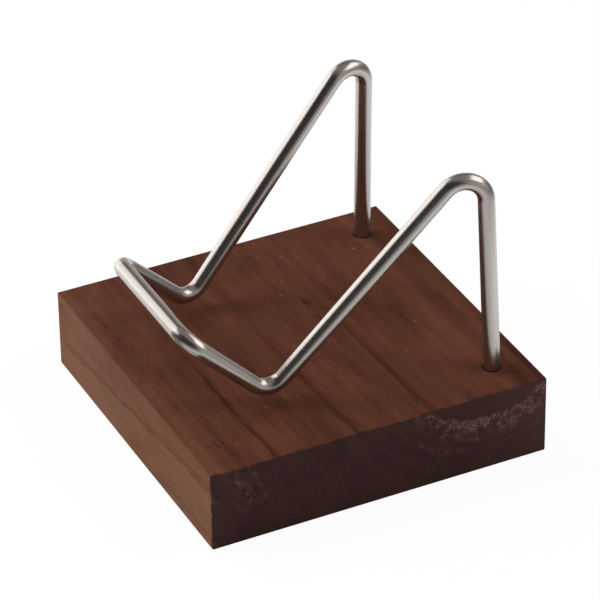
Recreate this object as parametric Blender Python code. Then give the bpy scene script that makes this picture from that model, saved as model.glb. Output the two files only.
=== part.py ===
"""Specimen display stand: a walnut block with a bent steel rod easel standing in two drilled sockets.

The origin is under the middle of the block, on the surface that it stands on. +Z is up, -Y is the front,
where the lip is, and +X is the right-hand side. The rod's corners are given as on a bending drawing: each is
the sharp point where two straight runs would meet, before the bend rounds it.
"""

from math import ceil, pi, radians, sin, tan

import bmesh
import bpy
from mathutils import Matrix, Vector

MM = 0.001

# Walnut block: the grain runs along its width
BLOCK_WIDTH = 85 * MM
BLOCK_DEPTH = 85 * MM
BLOCK_HEIGHT = 20 * MM
EDGE_EASE = 0.4 * MM

# Sockets: two flat-bottomed holes, drilled straight down for the tails of the rod
SOCKET_SPACING = 65 * MM
SOCKET_FROM_BACK = 9 * MM
SOCKET_FLOOR = 8 * MM
SLIP_CLEARANCE = 0.3 * MM

# Steel rod: heights are above the top of the block, reaches are forward from the sockets
ROD_DIAMETER = 4 * MM
TAIL_CHAMFER = 0.4 * MM
KNEE_RISE = 1.5 * MM
APEX_SPACING = 58.5 * MM
APEX_REACH = 0.9 * MM
APEX_RISE = 57.3 * MM
HEEL_SPACING = 43 * MM
HEEL_REACH = 51.4 * MM
HEEL_RISE = 2 * MM
CREST_SPACING = 38 * MM
CREST_REACH = 70.2 * MM
CREST_RISE = 20.2 * MM

# Bends: the radius on the inside of each, which is that of the former it was bent round
KNEE_INNER_RADIUS = 28 * MM
APEX_INNER_RADIUS = 3.5 * MM
HEEL_INNER_RADIUS = 3 * MM
CREST_INNER_RADIUS = 3 * MM

# Smoothness of the round surfaces
BEND_STEP = radians(7.5)
ROD_SIDES = 24
SOCKET_SIDES = 32
EASE_SEGMENTS = 2
SHARP_ANGLE = radians(40)

ROD_RADIUS = ROD_DIAMETER / 2
SOCKET_RADIUS = ROD_RADIUS + SLIP_CLEARANCE
SOCKET_Y = BLOCK_DEPTH / 2 - SOCKET_FROM_BACK


def principled(name, colour, roughness, metallic):
    """A plain material of one colour."""
    material = bpy.data.materials.new(name)
    material.use_nodes = True
    shader = material.node_tree.nodes["Principled BSDF"]
    shader.inputs["Base Color"].default_value = (*colour, 1)
    shader.inputs["Roughness"].default_value = roughness
    shader.inputs["Metallic"].default_value = metallic
    return material


def add_object(name, data, parent=None):
    """Links a new object that holds the data."""
    obj = bpy.data.objects.new(name, data)
    obj.parent = parent
    bpy.context.scene.collection.objects.link(obj)
    return obj


def mesh_from(name, shape):
    """Turns a finished bmesh into a mesh."""
    mesh = bpy.data.meshes.new(name)
    shape.to_mesh(mesh)
    shape.free()
    return mesh


def socket_drill(name, x, stand):
    """The cutter for one socket: a cylinder from the socket's floor to well above the block."""
    length = 2 * (BLOCK_HEIGHT - SOCKET_FLOOR)
    shape = bmesh.new()
    bmesh.ops.create_cone(
        shape,
        cap_ends=True,
        segments=SOCKET_SIDES,
        radius1=SOCKET_RADIUS,
        radius2=SOCKET_RADIUS,
        depth=length,
    )
    mesh = mesh_from(name, shape)
    mesh.shade_smooth()
    mesh.set_sharp_from_angle(angle=SHARP_ANGLE)
    drill = add_object(name, mesh, stand)
    drill.location = (x, SOCKET_Y, SOCKET_FLOOR + length / 2)
    drill.hide_render = True
    drill.display_type = "WIRE"
    return drill


def walnut_base(stand):
    """The block, with every edge eased and the two sockets drilled into its top."""
    shape = bmesh.new()
    bmesh.ops.create_cube(shape, size=1)
    bmesh.ops.scale(shape, vec=(BLOCK_WIDTH, BLOCK_DEPTH, BLOCK_HEIGHT), verts=shape.verts)
    bmesh.ops.translate(shape, vec=(0, 0, BLOCK_HEIGHT / 2), verts=shape.verts)
    block = add_object("walnut_base", mesh_from("walnut_base", shape), stand)

    ease = block.modifiers.new("eased_edges", "BEVEL")
    ease.width = EDGE_EASE
    ease.segments = EASE_SEGMENTS

    for side, x in (("left", -SOCKET_SPACING / 2), ("right", SOCKET_SPACING / 2)):
        socket = block.modifiers.new(f"socket_{side}", "BOOLEAN")
        socket.operation = "DIFFERENCE"
        socket.solver = "EXACT"
        socket.object = socket_drill(f"socket_drill_{side}", x, stand)

    block.data.materials.append(principled("oiled_walnut", (0.085, 0.033, 0.019), 0.5, 0))
    return block


def bend(before, corner, after, inner_radius):
    """Points along the arc that rounds one corner of the rod's centreline."""
    radius = inner_radius + ROD_RADIUS
    back = (before - corner).normalized()
    on = (after - corner).normalized()
    half_angle = back.angle(on) / 2
    centre = corner + (back + on).normalized() * (radius / sin(half_angle))
    spoke = corner + back * (radius / tan(half_angle)) - centre
    axis = back.cross(spoke)
    sweep = pi - 2 * half_angle
    steps = max(2, ceil(sweep / BEND_STEP))
    return [centre + Matrix.Rotation(sweep * step / steps, 3, axis) @ spoke for step in range(steps + 1)]


def rod_centreline():
    """The rod's path from tail to tail, measured from the middle of the line between the socket mouths."""
    tail_end = SOCKET_FLOOR + SLIP_CLEARANCE - BLOCK_HEIGHT
    right_side = [
        Vector((SOCKET_SPACING / 2, 0, tail_end)),
        Vector((SOCKET_SPACING / 2, 0, KNEE_RISE)),
        Vector((APEX_SPACING / 2, -APEX_REACH, APEX_RISE)),
        Vector((HEEL_SPACING / 2, -HEEL_REACH, HEEL_RISE)),
        Vector((CREST_SPACING / 2, -CREST_REACH, CREST_RISE)),
    ]
    left_side = [Vector((-corner.x, corner.y, corner.z)) for corner in reversed(right_side)]
    corners = right_side + left_side
    right_radii = [KNEE_INNER_RADIUS, APEX_INNER_RADIUS, HEEL_INNER_RADIUS, CREST_INNER_RADIUS]
    inner_radii = right_radii + right_radii[::-1]

    points = [corners[0]]
    for before, corner, after, inner_radius in zip(corners, corners[1:], corners[2:], inner_radii):
        points += bend(before, corner, after, inner_radius)
    points.append(corners[-1])
    return points


def steel_easel_rod(stand):
    """The rod, swept along its centreline, with both tails chamfered where the rod was cut off."""
    points = rod_centreline()
    chamfer_start = Vector((0, 0, TAIL_CHAMFER))
    points.insert(1, points[0] + chamfer_start)
    points.insert(-1, points[-1] + chamfer_start)

    curve = bpy.data.curves.new("steel_easel_rod", "CURVE")
    curve.dimensions = "3D"
    curve.bevel_depth = ROD_RADIUS
    curve.bevel_resolution = (ROD_SIDES - 4) // 2
    curve.use_fill_caps = True
    path = curve.splines.new("POLY")
    path.points.add(len(points) - 1)
    for place, point in zip(path.points, points):
        place.co = (*point, 1)
    for end in (path.points[0], path.points[-1]):
        end.radius = 1 - TAIL_CHAMFER / ROD_RADIUS

    rod = add_object("steel_easel_rod", curve, stand)
    rod.location = (0, SOCKET_Y, BLOCK_HEIGHT)
    curve.materials.append(principled("bright_stainless_steel", (0.62, 0.61, 0.59), 0.22, 1))
    return rod


for leftover in list(bpy.data.objects):
    bpy.data.objects.remove(leftover)

display_stand = add_object("display_stand", None)
walnut_base(display_stand)
steel_easel_rod(display_stand)
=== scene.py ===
from math import ceil, cos, pi, radians, sin, tan

import bmesh
import bpy
from mathutils import Matrix, Quaternion, Vector


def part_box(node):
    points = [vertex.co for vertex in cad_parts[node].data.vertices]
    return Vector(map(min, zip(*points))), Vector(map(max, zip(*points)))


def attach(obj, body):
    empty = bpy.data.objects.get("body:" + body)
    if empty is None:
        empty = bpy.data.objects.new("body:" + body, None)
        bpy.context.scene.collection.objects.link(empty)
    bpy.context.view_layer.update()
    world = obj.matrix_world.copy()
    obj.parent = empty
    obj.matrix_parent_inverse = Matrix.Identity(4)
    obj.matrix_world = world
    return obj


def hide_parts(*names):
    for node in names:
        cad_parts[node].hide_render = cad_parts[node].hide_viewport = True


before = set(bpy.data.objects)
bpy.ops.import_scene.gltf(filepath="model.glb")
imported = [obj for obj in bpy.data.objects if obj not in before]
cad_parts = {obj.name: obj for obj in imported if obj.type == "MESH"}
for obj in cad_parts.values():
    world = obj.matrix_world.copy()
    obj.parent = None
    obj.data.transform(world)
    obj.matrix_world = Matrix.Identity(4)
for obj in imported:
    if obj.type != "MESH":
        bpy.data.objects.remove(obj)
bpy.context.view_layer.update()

# Walnut block: one piece sawn from a planed walnut board, with the grain along its width.
# Its edges are eased with sandpaper, two flat-bottomed sockets are drilled near the back edge
# for the tails of the rod, and the whole block is sanded and oiled.
MM = 0.001
block_low, block_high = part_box("walnut_base")
rod_low, rod_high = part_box("steel_easel_rod")
edge_ease = 0.4 * MM
ease_segments = 4
rod_radius = 2 * MM
slip_clearance = 0.12 * MM
socket_radius = rod_radius + slip_clearance
socket_x = rod_high.x - rod_radius
socket_y = rod_high.y - rod_radius
socket_floor = rod_low.z - slip_clearance
mouth_ease = 0.15 * MM
socket_sides = 48
# A face lies square to an axis if its normal has more than this along it
square_on = 0.999

block_shape = bmesh.new()
bmesh.ops.create_cube(block_shape, size=1)
bmesh.ops.scale(block_shape, vec=block_high - block_low, verts=block_shape.verts)
bmesh.ops.translate(block_shape, vec=(block_low + block_high) / 2, verts=block_shape.verts)
bmesh.ops.bevel(
    block_shape,
    geom=block_shape.edges[:],
    offset=edge_ease,
    segments=ease_segments,
    profile=0.5,
    affect="EDGES",
    material=-1,
)


def extrude_ring(shape, ring, motion):
    """Extrudes a ring of edges by one motion, and returns the new ring's points and edges."""
    made = bmesh.ops.extrude_edge_only(shape, edges=ring)["geom"]
    points = [part for part in made if isinstance(part, bmesh.types.BMVert)]
    bmesh.ops.transform(shape, matrix=motion, verts=points)
    new_points = set(points)
    edges = [
        part for part in made if isinstance(part, bmesh.types.BMEdge) and new_points.issuperset(part.verts)
    ]
    return points, edges


def drill_socket(shape, x, y):
    """Opens a square patch of the top round the socket, rounds it to the mouth and sinks the bore."""
    top = block_high.z
    mouth = Vector((x, y, top))
    patch_reach = 2 * socket_radius
    for axis in (Vector((1, 0, 0)), Vector((0, 1, 0))):
        for reach in (-patch_reach, patch_reach):
            shape.normal_update()
            faces = [face for face in shape.faces if face.normal.z > square_on]
            lines = list({edge for face in faces for edge in face.edges})
            points = list({vert for face in faces for vert in face.verts})
            bmesh.ops.bisect_plane(
                shape, geom=faces + lines + points, plane_co=mouth + axis * reach, plane_no=axis
            )
    patch = min(shape.faces, key=lambda face: (face.calc_center_median() - mouth).length)
    patch_edges = patch.edges[:]
    bmesh.ops.delete(shape, geom=[patch], context="FACES_ONLY")
    bmesh.ops.subdivide_edges(shape, edges=patch_edges, cuts=socket_sides // 4 - 1)
    rim = [edge for edge in shape.edges if edge.is_boundary]

    mouth_radius = socket_radius + mouth_ease
    points, ring = extrude_ring(shape, rim, Matrix.Identity(4))
    for point in points:
        point.co = mouth + (point.co - mouth).normalized() * mouth_radius
    narrow = Matrix.Diagonal((socket_radius / mouth_radius, socket_radius / mouth_radius, 1, 1))
    ease = Matrix.Translation(mouth - Vector((0, 0, mouth_ease))) @ narrow @ Matrix.Translation(-mouth)
    _, ring = extrude_ring(shape, ring, ease)
    _, ring = extrude_ring(shape, ring, Matrix.Translation((0, 0, socket_floor - top + mouth_ease)))
    bmesh.ops.edgeloop_fill(shape, edges=ring)


for x in (-socket_x, socket_x):
    drill_socket(block_shape, x, socket_y)
block_shape.normal_update()
for face in block_shape.faces:
    face.smooth = max(map(abs, face.normal)) < square_on


def add_node(tree, kind, inputs=None, **settings):
    """Adds a shader node, sets its options, and fills or links the inputs that are named."""
    node = tree.nodes.new("ShaderNode" + kind)
    for name, value in settings.items():
        setattr(node, name, value)
    for name, value in (inputs or {}).items():
        if isinstance(value, bpy.types.NodeSocket):
            tree.links.new(value, node.inputs[name])
        else:
            node.inputs[name].default_value = value
    return node


def calculate(tree, operation, first, second=0.0):
    """One step of arithmetic on two values."""
    return add_node(tree, "Math", {0: first, 1: second}, operation=operation).outputs[0]


def rescale(tree, value, low, high, to_low=0.0, to_high=1.0):
    """Runs a value smoothly from one range to another, and holds it at the ends."""
    inputs = {"Value": value, "From Min": low, "From Max": high, "To Min": to_low, "To Max": to_high}
    return add_node(tree, "MapRange", inputs, interpolation_type="SMOOTHSTEP").outputs["Result"]


def mix_colours(tree, factor, first, second, blend="MIX"):
    """Lays the second colour over the first, by the factor."""
    node = add_node(tree, "Mix", {0: factor, 6: first, 7: second}, data_type="RGBA", blend_type=blend)
    return node.outputs[2]


# Streaks drawn out along the first axis, for wood fibres and for the drawing lines of the rod.
# Most of a noise pattern lies between its low and its high value.
noise_low = 0.3
noise_high = 0.7
streaks = bpy.data.node_groups.new("long_streaks", "ShaderNodeTree")
streaks.interface.new_socket("Place", in_out="INPUT", socket_type="NodeSocketVector")
streaks.interface.new_socket("Length", in_out="INPUT", socket_type="NodeSocketFloat")
streaks.interface.new_socket("Breadth", in_out="INPUT", socket_type="NodeSocketFloat")
streaks.interface.new_socket("Streaks", in_out="OUTPUT", socket_type="NodeSocketFloat")
streaks_in = streaks.nodes.new("NodeGroupInput").outputs
breadth_in = streaks_in["Breadth"]
streak_size = add_node(streaks, "CombineXYZ", {"X": streaks_in["Length"], "Y": breadth_in, "Z": breadth_in})
streak_place = add_node(
    streaks, "VectorMath", {0: streaks_in["Place"], 1: streak_size.outputs[0]}, operation="DIVIDE"
)
streak_noise = add_node(
    streaks, "TexNoise", {"Vector": streak_place.outputs[0], "Scale": 1.0, "Detail": 3.0, "Roughness": 0.6}
)
streak_level = rescale(streaks, streak_noise.outputs["Fac"], noise_low, noise_high)
streaks_out = streaks.nodes.new("NodeGroupOutput")
streaks.links.new(streak_level, streaks_out.inputs["Streaks"])


def add_streaks(tree, place, length, breadth):
    """Places the streaks in a material, with their own length and breadth."""
    node = tree.nodes.new("ShaderNodeGroup")
    node.node_tree = streaks
    tree.links.new(place, node.inputs["Place"])
    node.inputs["Length"].default_value = length
    node.inputs["Breadth"].default_value = breadth
    return node.outputs["Streaks"]


# Walnut, in millimetres from the heart of the trunk, which lay above the back half of the block.
# Each growth ring darkens slowly outwards to its line, and the wood pales towards the bark.
# Rings, pores and pallor are given by their distance from the heart.
heart = (42.5 * MM, 27.2 * MM, 35.2 * MM)
grain_climb = radians(1.7)
grain_drift = radians(1.2)
noise_middle = (0.5, 0.5, 0.5)
sway_size = (34, 12, 12)
sway_reach = (0, 3, 3)
growth_lines = {21: 0.26, 29.5: 0.42, 37: 0.14, 46: 0.40, 56: 0.05, 63.5: 0.40, 72.4: 0.02, 76.5: 0.20}
line_breadth = {"inner": 0.5, "outer": 0.25}
growth_reach = {"inner": 1.6, "outer": 0.45}
outer_growth = 70
plain_growth = 0.5
inner_pores = {20.4: 0.0, 21.8: 1.0, 24.5: 0.8, 28: 0.12, 29.5: 0.65, 31: 0.08, 35: 0.2, 37: 0.0}
outer_pores = {58: 0.0, 61.5: 0.5, 65: 0.7, 67: 0.6, 70: 0.1, 71.7: 0.1, 72.3: 0.8, 73.1: 0.3}
bark_pallor = {48: 0.0, 64: 0.16, 70: 0.45, 72.5: 0.95, 74: 1.0}
innermost = 10
outermost = 85
dark_brown = (0.0355, 0.0113, 0.0066, 1)
deep_brown = (0.0645, 0.0212, 0.0125, 1)
warm_brown = (0.0935, 0.0312, 0.0180, 1)
light_brown = (0.1265, 0.0507, 0.0290, 1)
brown_tones = {0.16: dark_brown, 0.36: deep_brown, 0.58: warm_brown, 0.85: light_brown}
pale_tint = (0.97, 1.12, 1.05, 1)
oil_shine = 0.045

walnut = bpy.data.materials.new("oiled_walnut")
walnut.use_nodes = True
wood = walnut.node_tree
wood_shader = wood.nodes["Principled BSDF"]
wood_shader.inputs["Specular IOR Level"].default_value = oil_shine
wood_place = add_node(wood, "TexCoord").outputs["Object"]
trunk = add_node(
    wood,
    "Mapping",
    {
        "Vector": wood_place,
        "Location": heart,
        "Rotation": (0, -grain_climb, grain_drift),
        "Scale": (MM, MM, MM),
    },
    vector_type="TEXTURE",
).outputs[0]


def stretch(place, size):
    """The place counted in units of that size, so that a pattern takes the size on."""
    return add_node(wood, "VectorMath", {0: place, 1: size}, operation="DIVIDE").outputs[0]


def add_noise(place, size, detail=2.0, roughness=0.5):
    """A cloudy pattern of that size."""
    inputs = {"Vector": stretch(place, size), "Scale": 1.0, "Detail": detail, "Roughness": roughness}
    return add_node(wood, "TexNoise", inputs).outputs


def add_cells(place, size):
    """Scattered points that size apart: the distance to the nearest, and that one's own chance value."""
    cells = add_node(wood, "TexVoronoi", {"Vector": stretch(place, size), "Scale": 1.0}).outputs
    chance = add_node(wood, "SeparateColor", {"Color": cells["Color"]}).outputs["Red"]
    return cells["Distance"], chance


def add_ramp(value, stops):
    """A colour that runs through those given, each at its own value, and holds the first and the last."""
    ramp = add_node(wood, "ValToRGB", {"Fac": value})
    elements = ramp.color_ramp.elements
    elements[0].color = stops[min(stops)]
    elements[1].color = stops[max(stops)]
    for place, colour in stops.items():
        elements.new(place).color = colour
    return ramp.outputs["Color"]


def weigh(value, weight, rest):
    """The rest, with a share of the value added."""
    return add_node(wood, "Math", {0: value, 1: weight, 2: rest}, operation="MULTIPLY_ADD").outputs[0]


sway_noise = add_noise(trunk, sway_size, detail=4.0, roughness=0.6)["Color"]
sway = add_node(wood, "VectorMath", {0: sway_noise, 1: noise_middle}, operation="SUBTRACT").outputs[0]
grown = add_node(wood, "VectorMath", {0: sway, 1: sway_reach, 2: trunk}, operation="MULTIPLY_ADD").outputs[0]
across = add_node(wood, "VectorMath", {0: grown, 1: (0, 1, 1)}, operation="MULTIPLY").outputs[0]
from_heart = add_node(wood, "VectorMath", {0: across}, operation="LENGTH").outputs["Value"]
ring_place = add_node(
    wood, "MapRange", {"Value": from_heart, "From Min": innermost, "From Max": outermost}
).outputs["Result"]


def tone_by_ring(tones):
    """A tone that runs smoothly through the ones given, by distance from the heart."""
    stops = {}
    for distance, tone in tones.items():
        stops[(distance - innermost) / (outermost - innermost)] = (tone, tone, tone, 1)
    return add_ramp(ring_place, stops)


growth_depths = {}
for line, line_tone in growth_lines.items():
    growth = "outer" if line > outer_growth else "inner"
    growth_depths[line - growth_reach[growth]] = 0.0
    growth_depths[line - line_breadth[growth] / 2] = plain_growth - line_tone
    growth_depths[line + line_breadth[growth] / 2] = 0.0
growth_depth = tone_by_ring(growth_depths)
porous = tone_by_ring({**inner_pores, **outer_pores})
pallor = tone_by_ring(bark_pallor)

# Tone of the planed faces: growth lines fade out towards the far end of the block, except in the paler
# wood, and break up into dashes. Soft streaks of three sizes and fine rings lie between them.
base_tone = 0.22
mottle_share = 0.26
dash_share = 0.12
ring_share = 0.08
fibre_share = 0.08
pallor_share = 0.40
pale_smoothness = 0.45
back_streak = 9.5
back_streak_share = -0.14
whole_dash = 0.8
mottle = add_streaks(wood, grown, length=34, breadth=9)
dashes = add_streaks(wood, grown, length=16, breadth=2.6)
fibres = add_streaks(wood, grown, length=4, breadth=0.22)
ring_noise = add_node(
    wood, "TexNoise", {"W": from_heart, "Scale": 0.4, "Detail": 2.0}, noise_dimensions="1D"
).outputs["Fac"]
fine_rings = rescale(wood, ring_noise, noise_low, noise_high)
along, across_y, across_z = add_node(wood, "SeparateXYZ", {"Vector": trunk}).outputs
grown_y = add_node(wood, "SeparateXYZ", {"Vector": grown}).outputs["Y"]
near_share = rescale(wood, along, low=-65, high=-20, to_low=0.2)
shown_depth = calculate(wood, "MAXIMUM", near_share, pallor)
shown_depth = calculate(wood, "MULTIPLY", shown_depth, rescale(wood, dashes, 0, whole_dash, to_low=0.3))
tone = calculate(wood, "SUBTRACT", base_tone, calculate(wood, "MULTIPLY", growth_depth, shown_depth))
streaky = rescale(wood, pallor, 0, 1, to_low=1, to_high=pale_smoothness)
for pattern, share in ((mottle, mottle_share), (dashes, dash_share), (fine_rings, ring_share)):
    tone = weigh(pattern, calculate(wood, "MULTIPLY", streaky, share), tone)
tone = weigh(fibres, fibre_share, tone)
tone = weigh(pallor, pallor_share, tone)
streak_offset = calculate(wood, "ABSOLUTE", calculate(wood, "SUBTRACT", grown_y, back_streak))
streak_depth = rescale(wood, streak_offset, low=2.6, high=0.3)
streak_depth = calculate(wood, "MULTIPLY", streak_depth, rescale(wood, dashes, 0, whole_dash, to_low=0.5))
tone = weigh(streak_depth, back_streak_share, tone)
planed_colour = mix_colours(wood, pallor, add_ramp(tone, brown_tones), pale_tint, "MULTIPLY")

# Pores: dark dashes along the grain, which waver a little and are larger in the porous rings
pore_brown = (0.024, 0.0075, 0.004, 1)
pore_spacing = (6, 0.55, 0.55)
waver_size = (2.4, 1.2, 1.2)
waver_reach = (0, 0.9, 0.9)
fine_pore = 0.16
coarse_pore = 0.36
pore_core = 0.5
pore_waver = add_noise(trunk, waver_size)["Color"]
pore_place = add_node(
    wood, "VectorMath", {0: pore_waver, 1: waver_reach, 2: grown}, operation="MULTIPLY_ADD"
).outputs[0]
pore_distance, pore_chance = add_cells(pore_place, pore_spacing)
pore_size = rescale(wood, porous, 0, 1, to_low=fine_pore, to_high=coarse_pore)
pores = rescale(wood, pore_distance, low=pore_size, high=calculate(wood, "MULTIPLY", pore_size, pore_core))
pore_darkness = rescale(wood, pore_chance, low=0.2, high=1, to_low=0.08, to_high=0.75)
dark_pores = calculate(wood, "MULTIPLY", pores, pore_darkness)
side_colour = mix_colours(wood, dark_pores, planed_colour, pore_brown)

# Flecks: the few pale grains that show on the planed faces
fleck_brown = (0.26, 0.145, 0.095, 1)
fleck_spacing = (5, 4, 4)
fleck_distance, fleck_chance = add_cells(trunk, fleck_spacing)
flecks = rescale(wood, fleck_distance, low=0.085, high=0.04)
fleck_pallor = rescale(wood, fleck_chance, low=0.68, high=0.98, to_high=0.6)
flecks = calculate(wood, "MULTIPLY", flecks, fleck_pallor)
side_colour = mix_colours(wood, flecks, side_colour, fleck_brown)

# Sawn ends: darker, because the open vessels drink the oil, and pale with dust in the mouths of the
# larger ones, high up in the porous rings. The saw has torn a few fibres from the edges round them.
end_brown = (0.0345, 0.0181, 0.0177, 1)
end_russet = (0.0645, 0.0275, 0.0235, 1)
end_pale = (0.100, 0.055, 0.047, 1)
end_pore = (0.30, 0.195, 0.155, 1)
tear_size = (3, 1.8, 1.8)
tear_length = 0.8 * MM
cloud_size = (30, 2.6, 2.6)
grit_size = (30, 0.5, 0.5)
grit_stain = 0.25
ring_stain = 0.22
mottle_stain = 0.35
end_start = block_high.x - 0.35 * edge_ease
end_full = block_high.x - 0.02 * edge_ease
wood_x = add_node(wood, "SeparateXYZ", {"Vector": wood_place}).outputs["X"]
tear_noise = add_noise(trunk, tear_size, detail=3.0)["Fac"]
tear = rescale(wood, tear_noise, low=0.47, high=0.66, to_high=tear_length)
torn_distance = calculate(wood, "ADD", calculate(wood, "ABSOLUTE", wood_x), tear)
end_grain = rescale(wood, torn_distance, end_start, end_full)
end_cloud = add_noise(grown, cloud_size, detail=4.0, roughness=0.65)["Fac"]
end_grit = add_noise(trunk, grit_size)["Fac"]
to_back = rescale(wood, across_y, low=-20, high=-1, to_low=0.55)
to_top = rescale(wood, across_z, low=-32, high=-25)
end_open = calculate(wood, "MULTIPLY", porous, rescale(wood, end_cloud, low=0.36, high=0.66))
end_open = calculate(wood, "MULTIPLY", end_open, calculate(wood, "MULTIPLY", to_back, to_top))
end_stain = calculate(wood, "MULTIPLY", end_grit, grit_stain)
end_stain = weigh(fine_rings, ring_stain, end_stain)
end_stain = weigh(mottle, mottle_stain, end_stain)
end_colour = mix_colours(wood, end_stain, end_brown, end_russet)
# Painted light: the sawn end is painted paler towards the back, for the light that falls on it from behind.
end_back_painted_light = rescale(wood, across_y, low=-8, high=16, to_high=0.3)
end_colour = mix_colours(wood, end_back_painted_light, end_colour, end_pale)
end_colour = mix_colours(wood, rescale(wood, end_open, low=0, high=0.8), end_colour, end_pale)
pale_pores = rescale(wood, end_open, low=0.1, high=0.7)
pale_pores = calculate(wood, "MULTIPLY", pale_pores, rescale(wood, end_grit, low=0.53, high=0.68))
end_colour = mix_colours(wood, pale_pores, end_colour, end_pore)
wood.links.new(mix_colours(wood, end_grain, side_colour, end_colour), wood_shader.inputs["Base Color"])

# Oiled surface: fibres, pores and the sawn ends are rougher, and the pores are sunk
oiled_roughness = 0.52
fibre_roughness = 0.10
pore_roughness = 0.20
end_roughness = 0.12
pore_sink = -0.8
grain_depth = 0.04 * MM
roughness = weigh(fibres, fibre_roughness, oiled_roughness)
roughness = weigh(pores, pore_roughness, roughness)
roughness = weigh(end_grain, end_roughness, roughness)
wood.links.new(roughness, wood_shader.inputs["Roughness"])
grain_height = weigh(pores, pore_sink, fibres)
bump = add_node(wood, "Bump", {"Height": grain_height, "Strength": 0.5, "Distance": grain_depth})
wood.links.new(bump.outputs["Normal"], wood_shader.inputs["Normal"])


def add_piece(name, shape, material):
    """Turns a finished shape into an object at the origin, with its faces pointing outwards."""
    bmesh.ops.recalc_face_normals(shape, faces=shape.faces)
    mesh = bpy.data.meshes.new(name)
    shape.to_mesh(mesh)
    shape.free()
    mesh.materials.append(material)
    piece = bpy.data.objects.new(name, mesh)
    bpy.context.scene.collection.objects.link(piece)
    return piece


block = add_piece("walnut_block", block_shape, walnut)
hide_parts("walnut_base")
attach(block, "base")

# Steel rod: one length of bright drawn stainless rod, bent cold round formers into two legs, two sloped
# arms and the raised lip across the front. Its chamfered tails stand in the sockets and lift out again.
# Corners are given as on a bending drawing: the sharp points where two straight runs would meet.
tail_chamfer = 0.4 * MM
knee_rise = 1.5 * MM
apex_spacing = 58.5 * MM
apex_reach = 0.9 * MM
apex_rise = 57.3 * MM
heel_spacing = 43 * MM
heel_reach = 51.4 * MM
heel_rise = 2 * MM
crest_spacing = 38 * MM
crest_reach = 70.2 * MM
crest_rise = 20.2 * MM
knee_inner_radius = 28 * MM
apex_inner_radius = 3.5 * MM
heel_inner_radius = 3 * MM
crest_inner_radius = 3 * MM
# The rod is rounder here than in the frame, and thinner by this, so as to stay in the same box
box_allowance = 0.01 * MM
rod_sides = 64
bend_step = radians(3)
sharp_angle = radians(35)


def rod_corner(half_spacing, reach, rise):
    """A corner on the right side, from its reach forward of the sockets and its rise above the block."""
    return Vector((half_spacing, socket_y - reach, block_high.z + rise))


right_corners = [
    Vector((socket_x, socket_y, rod_low.z)),
    rod_corner(socket_x, 0, knee_rise),
    rod_corner(apex_spacing / 2, apex_reach, apex_rise),
    rod_corner(heel_spacing / 2, heel_reach, heel_rise),
    rod_corner(crest_spacing / 2, crest_reach, crest_rise),
]
left_corners = [Vector((-corner.x, corner.y, corner.z)) for corner in reversed(right_corners)]
corners = right_corners + left_corners
right_inner_radii = [knee_inner_radius, apex_inner_radius, heel_inner_radius, crest_inner_radius]
inner_radii = right_inner_radii + right_inner_radii[::-1]

rod_shape = bmesh.new()
drawn = rod_shape.verts.layers.float_vector.new("drawn")
drawn_radius = rod_radius - box_allowance
tail_radius = rod_radius - tail_chamfer
tail = bmesh.ops.create_circle(
    rod_shape, segments=rod_sides, radius=tail_radius, matrix=Matrix.Translation(corners[0])
)["verts"]
for vert in tail:
    vert[drawn] = (0, *(vert.co - corners[0]).xy * (drawn_radius / tail_radius))
rod_end = list({edge for vert in tail for edge in vert.link_edges})
bmesh.ops.edgeloop_fill(rod_shape, edges=rod_end)


def feed_rod(ring, motion, length):
    """Carries the rod on by one motion, and notes how far along the straight rod the new ring lies."""
    points, edges = extrude_ring(rod_shape, ring, motion)
    for point in points:
        point[drawn] += Vector((length, 0, 0))
    return edges


def cone(centre, ratio, rise):
    """The motion that widens or narrows a ring of the rod as it rises: a chamfer."""
    widen = Matrix.Diagonal((ratio, ratio, 1, 1))
    return Matrix.Translation(centre + Vector((0, 0, rise))) @ widen @ Matrix.Translation(-centre)


rod_end = feed_rod(rod_end, cone(corners[0], drawn_radius / tail_radius, tail_chamfer), tail_chamfer)
reached = corners[0] + Vector((0, 0, tail_chamfer))
for before, corner, after, inner_radius in zip(corners, corners[1:], corners[2:], inner_radii):
    bend_radius = inner_radius + rod_radius
    back = (before - corner).normalized()
    on = (after - corner).normalized()
    half_angle = back.angle(on) / 2
    former = corner + (back + on).normalized() * (bend_radius / sin(half_angle))
    bend_start = corner + back * (bend_radius / tan(half_angle))
    run = bend_start - reached
    rod_end = feed_rod(rod_end, Matrix.Translation(run), run.length)
    sweep = pi - 2 * half_angle
    steps = ceil(sweep / bend_step)
    turn = Matrix.Rotation(sweep / steps, 4, back.cross(bend_start - former))
    around = Matrix.Translation(former) @ turn @ Matrix.Translation(-former)
    for step in range(steps):
        rod_end = feed_rod(rod_end, around, bend_radius * sweep / steps)
    reached = corner + on * (bend_radius / tan(half_angle))
chamfer_start = corners[-1] + Vector((0, 0, tail_chamfer))
run = chamfer_start - reached
rod_end = feed_rod(rod_end, Matrix.Translation(run), run.length)
rod_end = feed_rod(rod_end, cone(chamfer_start, tail_radius / drawn_radius, -tail_chamfer), tail_chamfer)
bmesh.ops.edgeloop_fill(rod_shape, edges=rod_end)

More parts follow.
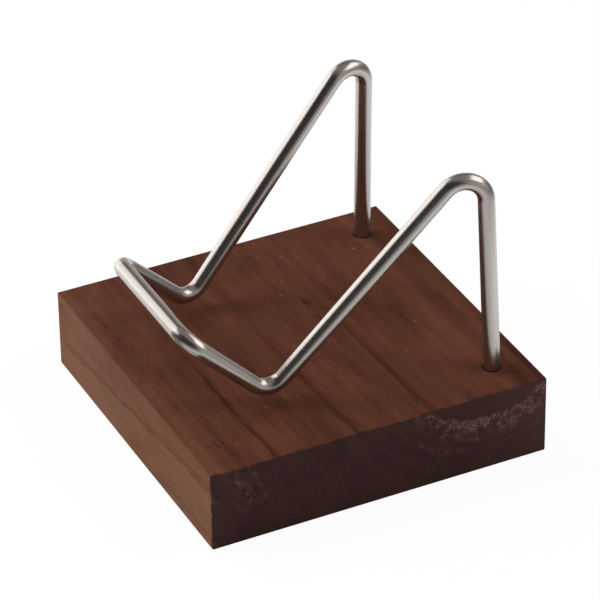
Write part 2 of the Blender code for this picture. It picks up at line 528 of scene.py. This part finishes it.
# Drawn steel: fine lines along the rod, as the die leaves them
steel_colour = (0.495, 0.463, 0.438, 1)
steel_metallic = 0.985
polished_roughness = 0.20
lined_roughness = 0.28
line_depth = 0.01 * MM
steel = bpy.data.materials.new("bright_stainless_steel")
steel.use_nodes = True
metal = steel.node_tree
metal_shader = metal.nodes["Principled BSDF"]
metal_shader.inputs["Metallic"].default_value = steel_metallic
metal_shader.inputs["Base Color"].default_value = steel_colour
drawn_place = add_node(
    metal, "Attribute", attribute_name="drawn", attribute_type="GEOMETRY"
).outputs["Vector"]
drawing_lines = add_streaks(metal, drawn_place, length=12 * MM, breadth=0.12 * MM)
metal_roughness = rescale(metal, drawing_lines, 0, 1, polished_roughness, lined_roughness)
metal.links.new(metal_roughness, metal_shader.inputs["Roughness"])
line_bump = add_node(metal, "Bump", {"Height": drawing_lines, "Strength": 0.08, "Distance": line_depth})
metal.links.new(line_bump.outputs["Normal"], metal_shader.inputs["Normal"])

for face in rod_shape.faces:
    face.smooth = True
rod = add_piece("bent_steel_rod", rod_shape, steel)
rod.data.set_sharp_from_angle(angle=sharp_angle)
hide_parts("steel_easel_rod")
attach(rod, "easel")

# Floor: a plain white table top, wide enough to fill every view. It takes the stand's shadow and shows white
# to the camera. To the steel it shows a glow with painted light and painted shade, as on a photographer's
# white sweep.
floor_radius = 5.0
floor_sides = 96
floor_gap = 0.05 * MM
paper_white = (0.9, 0.9, 0.9, 1)
paper_roughness = 0.9
camera_white = 0.95
camera_glow = 1.0
contact_shade_glow = 0.5
far_glow = 0.93
lip_forward = 37 * MM
floor_shape = bmesh.new()
bmesh.ops.create_circle(
    floor_shape,
    cap_ends=True,
    segments=floor_sides,
    radius=floor_radius,
    matrix=Matrix.Translation((0, 0, -floor_gap)),
)
white_floor = bpy.data.materials.new("white_floor")
white_floor.use_nodes = True
sheet = white_floor.node_tree
sheet_shader = sheet.nodes["Principled BSDF"]
sheet_shader.inputs["Base Color"].default_value = paper_white
sheet_shader.inputs["Roughness"].default_value = paper_roughness
sheet_shader.inputs["Specular IOR Level"].default_value = 0
light_path = add_node(sheet, "LightPath").outputs
mirrored = calculate(sheet, "MAXIMUM", light_path["Is Glossy Ray"], light_path["Is Transmission Ray"])
whitened = calculate(
    sheet, "MAXIMUM", calculate(sheet, "MULTIPLY", light_path["Is Camera Ray"], camera_white), mirrored
)
sheet_place = add_node(sheet, "TexCoord").outputs["Object"]
from_lip = add_node(
    sheet, "VectorMath", {0: sheet_place, 1: (0, lip_forward, 0)}, operation="ADD"
).outputs[0]
sheet_side = add_node(sheet, "VectorMath", {0: from_lip}, operation="NORMALIZE").outputs[0]


def outward(azimuth, elevation):
    """The direction from the stand to that side, and up by the elevation."""
    return Vector((sin(azimuth) * cos(elevation), -cos(azimuth) * cos(elevation), sin(elevation)))


def patch_towards(tree, place, azimuth, edge, core, level, surround=0):
    """A patch on that side, which fills its core and fades out to its edge, both cosines of angles."""
    middle = outward(azimuth, 0)
    nearness = add_node(tree, "VectorMath", {0: place, 1: middle}, operation="DOT_PRODUCT").outputs["Value"]
    return rescale(tree, nearness, edge, core, surround, level)


# What the steel mirrors of the floor is painted light and shade in the glow: painted light on the large
# softbox's side, painted shade in front and close round the stand, painted light close behind the stand and
# painted shade further back, and dim past the lit part of the sheet. Distances are in metres.
lip_distance = add_node(sheet, "VectorMath", {0: from_lip}, operation="LENGTH").outputs["Value"]
block_distance = add_node(sheet, "VectorMath", {0: sheet_place}, operation="LENGTH").outputs["Value"]
lit_level = rescale(sheet, lip_distance, low=0.08, high=0.3, to_low=0.35, to_high=1.15)
back_level = rescale(sheet, block_distance, low=0.2, high=0.4, to_low=0.28, to_high=-0.5)
lit_patch = patch_towards(sheet, sheet_side, radians(-77), edge=0.80, core=0.90, level=lit_level)
painted_front_shade = patch_towards(sheet, sheet_side, radians(-16), edge=0.82, core=0.95, level=0.36, surround=1)
painted_back_light_and_shade = patch_towards(sheet, sheet_side, radians(180), edge=0.3, core=0.9, level=back_level)
painted_contact_shade = rescale(sheet, block_distance, low=0.055, high=0.14, to_low=contact_shade_glow, to_high=far_glow)
sheet_end = rescale(sheet, block_distance, low=0.12, high=0.21, to_low=1, to_high=0.5)
mirrored_painted_light = calculate(sheet, "ADD", calculate(sheet, "MULTIPLY", painted_contact_shade, painted_front_shade), painted_back_light_and_shade)
mirrored_painted_light = calculate(sheet, "ADD", calculate(sheet, "MULTIPLY", mirrored_painted_light, sheet_end), lit_patch)
glow_strength = add_node(sheet, "Mix", {0: mirrored, 2: camera_glow, 3: mirrored_painted_light}).outputs[0]
glow = add_node(sheet, "Emission", {"Color": (1, 1, 1, 1), "Strength": glow_strength})
shown = add_node(sheet, "MixShader", {0: whitened, 1: sheet_shader.outputs[0], 2: glow.outputs[0]})
sheet.links.new(shown.outputs[0], sheet.nodes["Material Output"].inputs["Surface"])
floor = add_piece("floor", floor_shape, white_floor)


# Light: a large softbox leaning at the left with a smaller one beside it, a wide one high behind the stand,
# and three lamps that light the wood and stay out of the steel's reflections. Distances and sizes are in
# metres, and each faces the stand unless its tilt says otherwise.
def add_softbox(name, azimuth, elevation, distance, width, height, radiance, tilt=None, lean=0):
    """Stands a softbox at that side, tilted down and leaning, as bright as a surface of that radiance."""
    lamp = bpy.data.lights.new(name, "AREA")
    lamp.shape = "RECTANGLE"
    lamp.size = width
    lamp.size_y = height
    lamp.energy = radiance * pi * width * height
    softbox = bpy.data.objects.new(name, lamp)
    softbox.location = outward(azimuth, elevation) * distance
    facing = outward(azimuth, elevation if tilt is None else tilt).to_track_quat("Z", "Y")
    softbox.rotation_euler = (facing @ Quaternion((0, 0, 1), -lean)).to_euler()
    softbox.visible_camera = False
    bpy.context.scene.collection.objects.link(softbox)
    return softbox


add_softbox(
    "key_softbox",
    azimuth=radians(-63.6),
    elevation=radians(35.75),
    distance=0.924,
    width=0.70,
    height=0.92,
    radiance=1.19,
    tilt=0,
    lean=radians(20),
)
add_softbox(
    "side_softbox",
    azimuth=radians(-31),
    elevation=radians(36),
    distance=0.75,
    width=0.35,
    height=0.42,
    radiance=1.19,
)
add_softbox(
    "back_softbox",
    azimuth=radians(165),
    elevation=radians(41),
    distance=0.90,
    width=1.0,
    height=0.48,
    radiance=1.85,
)
front_fill = add_softbox(
    "front_fill",
    azimuth=radians(-22),
    elevation=radians(12),
    distance=0.90,
    width=0.60,
    height=0.40,
    radiance=10.4,
)
high_lamp = add_softbox(
    "high_lamp",
    azimuth=radians(-58),
    elevation=radians(56),
    distance=0.90,
    width=0.38,
    height=0.38,
    radiance=5.6,
)
back_lamp = add_softbox(
    "back_lamp",
    azimuth=radians(150),
    elevation=radians(50),
    distance=0.90,
    width=0.30,
    height=0.30,
    radiance=5.8,
)
for lamp in (front_fill, high_lamp, back_lamp):
    lamp.visible_glossy = False

# Room: dim and warm, and dimmer towards the ceiling. It is dark on the camera's side, as in a studio,
# low down behind the stand and high up past the large softbox, and lit along the floor below that softbox.
room_colour = (1, 0.90, 0.83, 1)
world = bpy.data.worlds.new("dim_room")
bpy.context.scene.world = world
world.use_nodes = True
room = world.node_tree
room_light = room.nodes["Background"]
room_light.inputs["Color"].default_value = room_colour
direction = add_node(room, "TexCoord").outputs["Generated"]
height_up = add_node(room, "SeparateXYZ", {"Vector": direction}).outputs["Z"]
wall = rescale(room, height_up, low=0.1, high=0.7, to_low=0.60, to_high=0.305)
camera_side = patch_towards(room, direction, radians(28), edge=0.25, core=0.5, level=0.11, surround=1)
low_down = rescale(room, height_up, low=0.18, high=0.38, to_low=1, to_high=0)
gap_behind = patch_towards(room, direction, radians(178), edge=0.86, core=0.97, level=0.58)
gap_behind = calculate(room, "MULTIPLY", gap_behind, low_down)
high_up = rescale(room, height_up, low=0.3, high=0.55)
dark_corner = patch_towards(room, direction, radians(-114), edge=0.55, core=0.75, level=0.5)
dark_corner = calculate(room, "MULTIPLY", dark_corner, high_up)
gaps = calculate(room, "SUBTRACT", 1.0, calculate(room, "ADD", gap_behind, dark_corner))
brightness = calculate(room, "MULTIPLY", calculate(room, "MULTIPLY", wall, camera_side), gaps)
near_horizon = rescale(room, height_up, low=0.12, high=0.24, to_low=1, to_high=0)
lit_horizon = patch_towards(room, direction, radians(-66), edge=0.80, core=0.90, level=0.75)
lit_horizon = calculate(room, "MULTIPLY", lit_horizon, near_horizon)
brightness = calculate(room, "ADD", brightness, lit_horizon)
room.links.new(brightness, room_light.inputs["Strength"])

# Camera: at the photograph's angle, with a long lens, about a metre away and rolled a little.
# It aims above the middle of the block's underside, by the steps to its own right and up.
camera_azimuth = radians(64.025)
camera_elevation = radians(32.938)
camera_roll = radians(0.789)
camera_distance = 926.51 * MM
camera_lens = 236.35
aim_right = 0.305 * MM
aim_up = 24.764 * MM
backward = outward(camera_azimuth, camera_elevation)
level_right = Vector((cos(camera_azimuth), sin(camera_azimuth), 0))
level_up = backward.cross(level_right)
right = level_right * cos(camera_roll) - level_up * sin(camera_roll)
up = level_right * sin(camera_roll) + level_up * cos(camera_roll)
camera_data = bpy.data.cameras.new("camera")
camera_data.lens = camera_lens
camera = bpy.data.objects.new("camera", camera_data)
bpy.context.scene.collection.objects.link(camera)
camera_place = right * aim_right + up * aim_up + backward * camera_distance
camera.matrix_world = Matrix.Translation(camera_place) @ Matrix((right, up, backward)).transposed().to_4x4()
bpy.context.scene.camera = camera
bpy.context.scene.view_settings.view_transform = "Standard"
